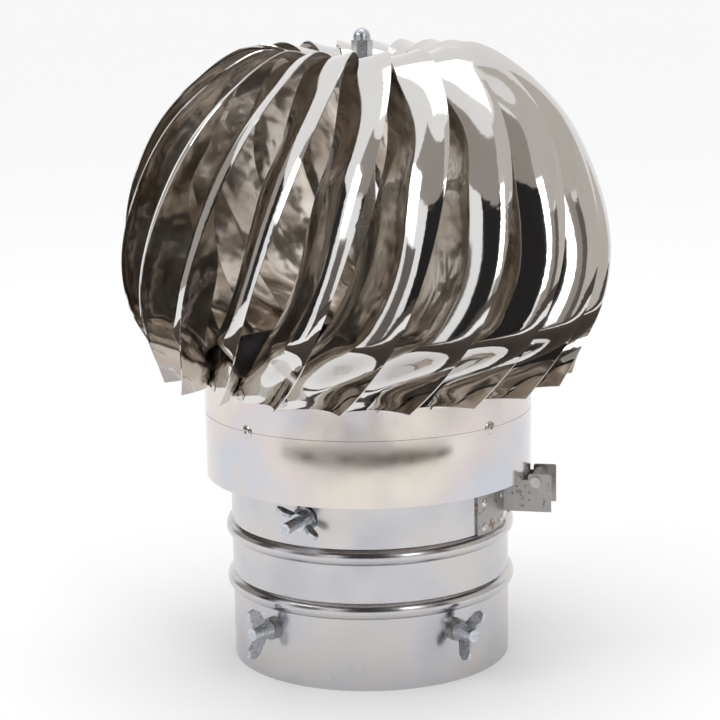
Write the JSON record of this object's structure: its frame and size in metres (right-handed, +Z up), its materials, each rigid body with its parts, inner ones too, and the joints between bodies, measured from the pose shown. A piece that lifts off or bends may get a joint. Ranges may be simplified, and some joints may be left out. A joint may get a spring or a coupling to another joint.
{
  "type": "roof turbine ventilator",
  "caption": "Wind-driven roof turbine ventilator: a ball of curved bright metal blades spins on a ribbed duct pipe, with a hinged head, clasp nuts and wing screws.",
  "frame": {"origin": "centre of the duct opening, at the bottom edge of the base pipe", "axes": "+Z up the duct axis towards the rotor; -Y towards the front; the head's hinge is on the +X side"},
  "size_m": [0.3488, 0.3488, 0.4552],
  "materials": {
    "blade_steel": "mirror polished",
    "skirt_steel": "bright rolled",
    "pipe_steel": "bright rolled",
    "bracket_steel": "dull rolled",
    "zinc_fasteners": "zinc plated",
    "rivet_metal": "satin",
    "bearing_steel": "ground"
  },
  "bodies": {
    "base": {"base_pipe": "pipe_steel", "clamp_bosses": "bracket_steel", "hinge_bracket_near": "bracket_steel", "hinge_bracket_far": "bracket_steel", "bracket_rivets": "rivet_metal", "hinge_pin": "bearing_steel"},
    "head": {"collar": "pipe_steel", "hinge_leaf": "bracket_steel", "leaf_rivets": "rivet_metal", "spider": "bracket_steel", "spider_rivets": "rivet_metal", "clasp_bolts": "zinc_fasteners", "clasp_washers": "zinc_fasteners", "spindle": "bearing_steel", "spindle_nut": "zinc_fasteners", "bearing_inner_lower": "bearing_steel", "bearing_inner_upper": "bearing_steel", "spacer_inner": "bearing_steel"},
    "rotor": {"bearing_outer_lower": "bearing_steel", "bearing_outer_upper": "bearing_steel", "spacer_outer": "bearing_steel", "retaining_ring": "bearing_steel", "bearing_cup": "bearing_steel", "hub_plate": "skirt_steel", "clamp_washer": "skirt_steel", "plain_nut": "zinc_fasteners", "acorn_nut": "zinc_fasteners", "blade_ring": "skirt_steel", "skirt_band": "skirt_steel", "joint_strip": "skirt_steel", "skirt_rivets": "rivet_metal", "foot_rivets": "rivet_metal", "blade_01": "blade_steel", "blade_02": "blade_steel", "blade_03": "blade_steel", "blade_04": "blade_steel", "blade_05": "blade_steel", "blade_06": "blade_steel", "blade_07": "blade_steel", "blade_08": "blade_steel", "blade_09": "blade_steel", "blade_10": "blade_steel", "blade_11": "blade_steel", "blade_12": "blade_steel", "blade_13": "blade_steel", "blade_14": "blade_steel", "blade_15": "blade_steel", "blade_16": "blade_steel", "blade_17": "blade_steel", "blade_18": "blade_steel", "blade_19": "blade_steel", "blade_20": "blade_steel"},
    "wing_screw_1": {"wing_screw_1": "zinc_fasteners"},
    "wing_screw_2": {"wing_screw_2": "zinc_fasteners"},
    "wing_screw_3": {"wing_screw_3": "zinc_fasteners"},
    "wing_screw_4": {"wing_screw_4": "zinc_fasteners"},
    "wing_nut_1": {"wing_nut_1": "zinc_fasteners"},
    "wing_nut_2": {"wing_nut_2": "zinc_fasteners"}
  },
  "joints": [
    {"name": "head_tilt", "type": "hinge", "parent": "base", "child": "head", "pos_m": [0.12227, -0.02599, 0.1334], "axis": [0.2079, 0.9781, 0], "range_deg": [0, 95]},
    {"name": "rotor_spin", "type": "hinge", "parent": "head", "child": "rotor", "pos_m": [0, 0, 0.4165], "axis": [0, 0, 1], "continuous": true},
    {"name": "wing_screw_1_turn", "type": "hinge", "parent": "base", "child": "wing_screw_1", "pos_m": [-0.07641, -0.07913, 0.038], "axis": [-0.6947, -0.7193, 0], "continuous": true},
    {"name": "wing_screw_2_turn", "type": "hinge", "parent": "base", "child": "wing_screw_2", "pos_m": [0.06466, -0.08899, 0.038], "axis": [0.5878, -0.809, 0], "continuous": true},
    {"name": "wing_screw_3_turn", "type": "hinge", "parent": "base", "child": "wing_screw_3", "pos_m": [0.07641, 0.07913, 0.038], "axis": [0.6947, 0.7193, 0], "continuous": true},
    {"name": "wing_screw_4_turn", "type": "hinge", "parent": "base", "child": "wing_screw_4", "pos_m": [-0.06466, 0.08899, 0.038], "axis": [-0.5878, 0.809, 0], "continuous": true},
    {"name": "wing_nut_1_turn", "type": "hinge", "parent": "head", "child": "wing_nut_1", "pos_m": [-0.04819, -0.09665, 0.123], "axis": [-0.4462, -0.8949, 0], "continuous": true},
    {"name": "wing_nut_2_turn", "type": "hinge", "parent": "head", "child": "wing_nut_2", "pos_m": [0.04819, 0.09665, 0.123], "axis": [0.4462, 0.8949, 0], "continuous": true}
  ]
}
